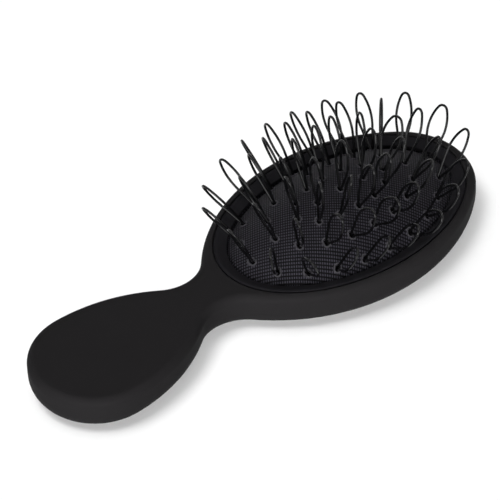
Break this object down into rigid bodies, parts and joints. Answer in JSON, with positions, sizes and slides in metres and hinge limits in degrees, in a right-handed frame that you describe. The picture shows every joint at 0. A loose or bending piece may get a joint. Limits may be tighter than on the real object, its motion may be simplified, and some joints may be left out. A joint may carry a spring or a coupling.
{
  "type": "loop styling brush",
  "caption": "Small oval styling brush with a waisted paddle handle, a domed rubber cushion in an oval frame and springy teardrop filament loops that flex at their roots.",
  "frame": {"origin": "middle of the overall length and width, on the flat of the back", "axes": "+X from handle end to head tip, +Y across the brush, +Z out of the back towards the loop tips"},
  "size_m": [0.138, 0.0592, 0.0339],
  "materials": {
    "body": "soft-touch matt black",
    "frame": "satin black",
    "pad": "matt dark grey, fine woven grain",
    "loops": "gloss black filament"
  },
  "bodies": {
    "body": {"back_shell": "body", "front_shell": "body", "pad_frame": "frame"},
    "cushion": {"cushion_pad": "pad"},
    "loop_01": {"loop_01": "loops"},
    "loop_02": {"loop_02": "loops"},
    "loop_03": {"loop_03": "loops"},
    "loop_04": {"loop_04": "loops"},
    "loop_05": {"loop_05": "loops"},
    "loop_06": {"loop_06": "loops"},
    "loop_07": {"loop_07": "loops"},
    "loop_08": {"loop_08": "loops"},
    "loop_09": {"loop_09": "loops"},
    "loop_10": {"loop_10": "loops"},
    "loop_11": {"loop_11": "loops"},
    "loop_12": {"loop_12": "loops"},
    "loop_13": {"loop_13": "loops"},
    "loop_14": {"loop_14": "loops"},
    "loop_15": {"loop_15": "loops"},
    "loop_16": {"loop_16": "loops"},
    "loop_17": {"loop_17": "loops"},
    "loop_18": {"loop_18": "loops"},
    "loop_19": {"loop_19": "loops"},
    "loop_20": {"loop_20": "loops"},
    "loop_21": {"loop_21": "loops"},
    "loop_22": {"loop_22": "loops"},
    "loop_23": {"loop_23": "loops"},
    "loop_24": {"loop_24": "loops"},
    "loop_25": {"loop_25": "loops"},
    "loop_26": {"loop_26": "loops"},
    "loop_27": {"loop_27": "loops"},
    "loop_28": {"loop_28": "loops"},
    "loop_29": {"loop_29": "loops"},
    "loop_30": {"loop_30": "loops"},
    "loop_31": {"loop_31": "loops"},
    "loop_32": {"loop_32": "loops"},
    "loop_33": {"loop_33": "loops"},
    "loop_34": {"loop_34": "loops"},
    "loop_35": {"loop_35": "loops"},
    "loop_36": {"loop_36": "loops"},
    "loop_37": {"loop_37": "loops"},
    "loop_38": {"loop_38": "loops"},
    "loop_39": {"loop_39": "loops"},
    "loop_40": {"loop_40": "loops"},
    "loop_41": {"loop_41": "loops"},
    "loop_42": {"loop_42": "loops"},
    "loop_43": {"loop_43": "loops"},
    "loop_44": {"loop_44": "loops"},
    "loop_45": {"loop_45": "loops"},
    "loop_46": {"loop_46": "loops"},
    "loop_47": {"loop_47": "loops"},
    "loop_48": {"loop_48": "loops"},
    "loop_49": {"loop_49": "loops"},
    "loop_50": {"loop_50": "loops"},
    "loop_51": {"loop_51": "loops"}
  },
  "joints": [
    {"name": "cushion_press", "type": "slide", "parent": "body", "child": "cushion", "axis": [0, 0, 1], "range_m": [-0.0025, 0], "stiffness_N_per_m": 2000, "deforming": ["cushion_pad"]},
    {"name": "loop_01_sway", "type": "hinge", "parent": "body", "child": "loop_01", "pos_m": [0.05798, -0.00011, 0.01035], "axis": [-0.0927, 0.9901, -0.1055], "range_deg": [-8, 8], "stiffness_Nm_per_rad": 0.003},
    {"name": "loop_02_sway", "type": "hinge", "parent": "body", "child": "loop_02", "pos_m": [0.05573, 0.00696, 0.01036], "axis": [-0.1051, 0.9161, -0.387], "range_deg": [-8, 8], "stiffness_Nm_per_rad": 0.003},
    {"name": "loop_03_sway", "type": "hinge", "parent": "body", "child": "loop_03", "pos_m": [0.05044, 0.01223, 0.01032], "axis": [-0.1211, 0.8142, -0.5678], "range_deg": [-8, 8], "stiffness_Nm_per_rad": 0.003},
    {"name": "loop_04_sway", "type": "hinge", "parent": "body", "child": "loop_04", "pos_m": [0.0437, 0.01576, 0.01025], "axis": [-0.1116, 0.8161, -0.5671], "range_deg": [-8, 8], "stiffness_Nm_per_rad": 0.003},
    {"name": "loop_05_sway", "type": "hinge", "parent": "body", "child": "loop_05", "pos_m": [0.03633, 0.01773, 0.01022], "axis": [0.1812, 0.7899, -0.5858], "range_deg": [-8, 8], "stiffness_Nm_per_rad": 0.003},
    {"name": "loop_06_sway", "type": "hinge", "parent": "body", "child": "loop_06", "pos_m": [0.02863, 0.01834, 0.01024], "axis": [0.1218, 0.7637, -0.634], "range_deg": [-8, 8], "stiffness_Nm_per_rad": 0.003},
    {"name": "loop_07_sway", "type": "hinge", "parent": "body", "child": "loop_07", "pos_m": [0.02101, 0.01774, 0.01023], "axis": [0.3788, 0.7726, -0.5095], "range_deg": [-8, 8], "stiffness_Nm_per_rad": 0.003},
    {"name": "loop_08_sway", "type": "hinge", "parent": "body", "child": "loop_08", "pos_m": [0.01361, 0.01576, 0.01027], "axis": [-0.0236, 0.8, -0.5996], "range_deg": [-8, 8], "stiffness_Nm_per_rad": 0.003},
    {"name": "loop_09_sway", "type": "hinge", "parent": "body", "child": "loop_09", "pos_m": [0.0069, 0.01229, 0.01034], "axis": [0.1632, 0.8609, -0.4819], "range_deg": [-8, 8], "stiffness_Nm_per_rad": 0.003},
    {"name": "loop_10_sway", "type": "hinge", "parent": "body", "child": "loop_10", "pos_m": [0.00147, 0.00698, 0.01035], "axis": [0.1068, 0.9307, -0.3498], "range_deg": [-8, 8], "stiffness_Nm_per_rad": 0.003},
    {"name": "loop_11_sway", "type": "hinge", "parent": "body", "child": "loop_11", "pos_m": [-0.00086, 0, 0.0103], "axis": [0.0632, 0.9976, 0.0295], "range_deg": [-8, 8], "stiffness_Nm_per_rad": 0.003},
    {"name": "loop_12_sway", "type": "hinge", "parent": "body", "child": "loop_12", "pos_m": [0.00143, -0.00701, 0.01031], "axis": [0.5288, 0.68, 0.5079], "range_deg": [-8, 8], "stiffness_Nm_per_rad": 0.003},
    {"name": "loop_13_sway", "type": "hinge", "parent": "body", "child": "loop_13", "pos_m": [0.00685, -0.01227, 0.01032], "axis": [-0.1519, 0.8517, 0.5016], "range_deg": [-8, 8], "stiffness_Nm_per_rad": 0.003},
    {"name": "loop_14_sway", "type": "hinge", "parent": "body", "child": "loop_14", "pos_m": [0.0135, -0.01573, 0.01027], "axis": [0.7033, 0.5126, 0.4925], "range_deg": [-8, 8], "stiffness_Nm_per_rad": 0.003},
    {"name": "loop_15_sway", "type": "hinge", "parent": "body", "child": "loop_15", "pos_m": [0.0209, -0.01772, 0.01023], "axis": [0.699, 0.5636, 0.4403], "range_deg": [-8, 8], "stiffness_Nm_per_rad": 0.003},
    {"name": "loop_16_sway", "type": "hinge", "parent": "body", "child": "loop_16", "pos_m": [0.02854, -0.01833, 0.01025], "axis": [0.6278, 0.6191, 0.4718], "range_deg": [-8, 8], "stiffness_Nm_per_rad": 0.003},
    {"name": "loop_17_sway", "type": "hinge", "parent": "body", "child": "loop_17", "pos_m": [0.03623, -0.01767, 0.01028], "axis": [0.4838, 0.6754, 0.5566], "range_deg": [-8, 8], "stiffness_Nm_per_rad": 0.003},
    {"name": "loop_18_sway", "type": "hinge", "parent": "body", "child": "loop_18", "pos_m": [0.0436, -0.01579, 0.01024], "axis": [0.3653, 0.8183, 0.4437], "range_deg": [-8, 8], "stiffness_Nm_per_rad": 0.003},
    {"name": "loop_19_sway", "type": "hinge", "parent": "body", "child": "loop_19", "pos_m": [0.05039, -0.01236, 0.01026], "axis": [0.3694, 0.8816, 0.2939], "range_deg": [-8, 8], "stiffness_Nm_per_rad": 0.003},
    {"name": "loop_20_sway", "type": "hinge", "parent": "body", "child": "loop_20", "pos_m": [0.05567, -0.00716, 0.01033], "axis": [0.2626, 0.9649, -0.0057], "range_deg": [-8, 8], "stiffness_Nm_per_rad": 0.003},
    {"name": "loop_21_sway", "type": "hinge", "parent": "cushion", "child": "loop_21", "pos_m": [0.05035, -0.00007, 0.01363], "axis": [0.174, 0.9686, -0.1775], "range_deg": [-8, 8], "stiffness_Nm_per_rad": 0.003},
    {"name": "loop_22_sway", "type": "hinge", "parent": "cushion", "child": "loop_22", "pos_m": [0.04772, 0.00602, 0.01374], "axis": [0.5396, 0.7255, -0.4273], "range_deg": [-8, 8], "stiffness_Nm_per_rad": 0.003},
    {"name": "loop_23_sway", "type": "hinge", "parent": "cushion", "child": "loop_23", "pos_m": [0.04215, 0.00984, 0.01394], "axis": [-0.019, 0.8715, -0.4901], "range_deg": [-8, 8], "stiffness_Nm_per_rad": 0.003},
    {"name": "loop_24_sway", "type": "hinge", "parent": "cushion", "child": "loop_24", "pos_m": [0.03559, 0.01193, 0.01407], "axis": [0.1688, 0.851, -0.4974], "range_deg": [-8, 8], "stiffness_Nm_per_rad": 0.003},
    {"name": "loop_25_sway", "type": "hinge", "parent": "cushion", "child": "loop_25", "pos_m": [0.02864, 0.01262, 0.0141], "axis": [0.1734, 0.8725, -0.4568], "range_deg": [-8, 8], "stiffness_Nm_per_rad": 0.003},
    {"name": "loop_26_sway", "type": "hinge", "parent": "cushion", "child": "loop_26", "pos_m": [0.02174, 0.01196, 0.01406], "axis": [0.3228, 0.8548, -0.4063], "range_deg": [-8, 8], "stiffness_Nm_per_rad": 0.003},
    {"name": "loop_27_sway", "type": "hinge", "parent": "cushion", "child": "loop_27", "pos_m": [0.0151, 0.0099, 0.01392], "axis": [0.2248, 0.8997, -0.3742], "range_deg": [-8, 8], "stiffness_Nm_per_rad": 0.003},
    {"name": "loop_28_sway", "type": "hinge", "parent": "cushion", "child": "loop_28", "pos_m": [0.00945, 0.006, 0.01374], "axis": [0.2344, 0.9303, -0.2823], "range_deg": [-8, 8], "stiffness_Nm_per_rad": 0.003},
    {"name": "loop_29_sway", "type": "hinge", "parent": "cushion", "child": "loop_29", "pos_m": [0.0068, -0.00001, 0.01361], "axis": [0.103, 0.9944, 0.0224], "range_deg": [-8, 8], "stiffness_Nm_per_rad": 0.003},
    {"name": "loop_30_sway", "type": "hinge", "parent": "cushion", "child": "loop_30", "pos_m": [0.00948, -0.006, 0.01374], "axis": [0.2289, 0.8815, 0.413], "range_deg": [-8, 8], "stiffness_Nm_per_rad": 0.003},
    {"name": "loop_31_sway", "type": "hinge", "parent": "cushion", "child": "loop_31", "pos_m": [0.01502, -0.00985, 0.01393], "axis": [0.2263, 0.8505, 0.4749], "range_deg": [-8, 8], "stiffness_Nm_per_rad": 0.003},
    {"name": "loop_32_sway", "type": "hinge", "parent": "cushion", "child": "loop_32", "pos_m": [0.02162, -0.01189, 0.0141], "axis": [0.1983, 0.8177, 0.5404], "range_deg": [-8, 8], "stiffness_Nm_per_rad": 0.003},
    {"name": "loop_33_sway", "type": "hinge", "parent": "cushion", "child": "loop_33", "pos_m": [0.02857, -0.01255, 0.01415], "axis": [0.0871, 0.826, 0.5569], "range_deg": [-8, 8], "stiffness_Nm_per_rad": 0.003},
    {"name": "loop_34_sway", "type": "hinge", "parent": "cushion", "child": "loop_34", "pos_m": [0.03551, -0.01189, 0.0141], "axis": [0.3666, 0.7873, 0.4958], "range_deg": [-8, 8], "stiffness_Nm_per_rad": 0.003},
    {"name": "loop_35_sway", "type": "hinge", "parent": "cushion", "child": "loop_35", "pos_m": [0.04208, -0.00989, 0.01393], "axis": [0.54, 0.7975, 0.2691], "range_deg": [-8, 8], "stiffness_Nm_per_rad": 0.003},
    {"name": "loop_36_sway", "type": "hinge", "parent": "cushion", "child": "loop_36", "pos_m": [0.04769, -0.00602, 0.01374], "axis": [0.5216, 0.8477, 0.0964], "range_deg": [-8, 8], "stiffness_Nm_per_rad": 0.003},
    {"name": "loop_37_sway", "type": "hinge", "parent": "cushion", "child": "loop_37", "pos_m": [0.04269, -0.00003, 0.01586], "axis": [-0.2462, 0.9669, 0.0671], "range_deg": [-8, 8], "stiffness_Nm_per_rad": 0.003},
    {"name": "loop_38_sway", "type": "hinge", "parent": "cushion", "child": "loop_38", "pos_m": [0.03966, 0.00439, 0.01605], "axis": [0.2968, 0.9355, -0.1918], "range_deg": [-8, 8], "stiffness_Nm_per_rad": 0.003},
    {"name": "loop_39_sway", "type": "hinge", "parent": "cushion", "child": "loop_39", "pos_m": [0.03431, 0.00632, 0.01633], "axis": [0.1824, 0.9386, -0.2928], "range_deg": [-8, 8], "stiffness_Nm_per_rad": 0.003},
    {"name": "loop_40_sway", "type": "hinge", "parent": "cushion", "child": "loop_40", "pos_m": [0.02856, 0.00697, 0.01641], "axis": [0.2246, 0.9473, -0.2284], "range_deg": [-8, 8], "stiffness_Nm_per_rad": 0.003},
    {"name": "loop_41_sway", "type": "hinge", "parent": "cushion", "child": "loop_41", "pos_m": [0.02288, 0.00635, 0.01632], "axis": [0.3134, 0.923, -0.2232], "range_deg": [-8, 8], "stiffness_Nm_per_rad": 0.003},
    {"name": "loop_42_sway", "type": "hinge", "parent": "cushion", "child": "loop_42", "pos_m": [0.01756, 0.00439, 0.01605], "axis": [0.2984, 0.9485, -0.1067], "range_deg": [-8, 8], "stiffness_Nm_per_rad": 0.003},
    {"name": "loop_43_sway", "type": "hinge", "parent": "cushion", "child": "loop_43", "pos_m": [0.01436, 0, 0.01581], "axis": [0.2369, 0.9703, 0.0492], "range_deg": [-8, 8], "stiffness_Nm_per_rad": 0.003},
    {"name": "loop_44_sway", "type": "hinge", "parent": "cushion", "child": "loop_44", "pos_m": [0.01753, -0.00435, 0.01605], "axis": [0.4342, 0.8685, 0.2389], "range_deg": [-8, 8], "stiffness_Nm_per_rad": 0.003},
    {"name": "loop_45_sway", "type": "hinge", "parent": "cushion", "child": "loop_45", "pos_m": [0.02282, -0.00633, 0.01633], "axis": [0.6365, 0.7429, 0.2071], "range_deg": [-8, 8], "stiffness_Nm_per_rad": 0.003},
    {"name": "loop_46_sway", "type": "hinge", "parent": "cushion", "child": "loop_46", "pos_m": [0.02854, -0.00693, 0.01642], "axis": [0.2244, 0.9416, 0.2512], "range_deg": [-8, 8], "stiffness_Nm_per_rad": 0.003},
    {"name": "loop_47_sway", "type": "hinge", "parent": "cushion", "child": "loop_47", "pos_m": [0.03428, -0.00634, 0.01633], "axis": [0.2133, 0.9465, 0.242], "range_deg": [-8, 8], "stiffness_Nm_per_rad": 0.003},
    {"name": "loop_48_sway", "type": "hinge", "parent": "cushion", "child": "loop_48", "pos_m": [0.03958, -0.00435, 0.01607], "axis": [0.3343, 0.9345, 0.1222], "range_deg": [-8, 8], "stiffness_Nm_per_rad": 0.003},
    {"name": "loop_49_sway", "type": "hinge", "parent": "cushion", "child": "loop_49", "pos_m": [0.02104, 0.00001, 0.01696], "axis": [0.137, 0.9903, 0.0237], "range_deg": [-8, 8], "stiffness_Nm_per_rad": 0.003},
    {"name": "loop_50_sway", "type": "hinge", "parent": "cushion", "child": "loop_50", "pos_m": [0.02854, 0.00001, 0.0174], "axis": [0.1561, 0.9877, 0.0063], "range_deg": [-8, 8], "stiffness_Nm_per_rad": 0.003},
    {"name": "loop_51_sway", "type": "hinge", "parent": "cushion", "child": "loop_51", "pos_m": [0.03605, 0.00006, 0.01697], "axis": [0.1786, 0.9833, 0.0361], "range_deg": [-8, 8], "stiffness_Nm_per_rad": 0.003}
  ]
}
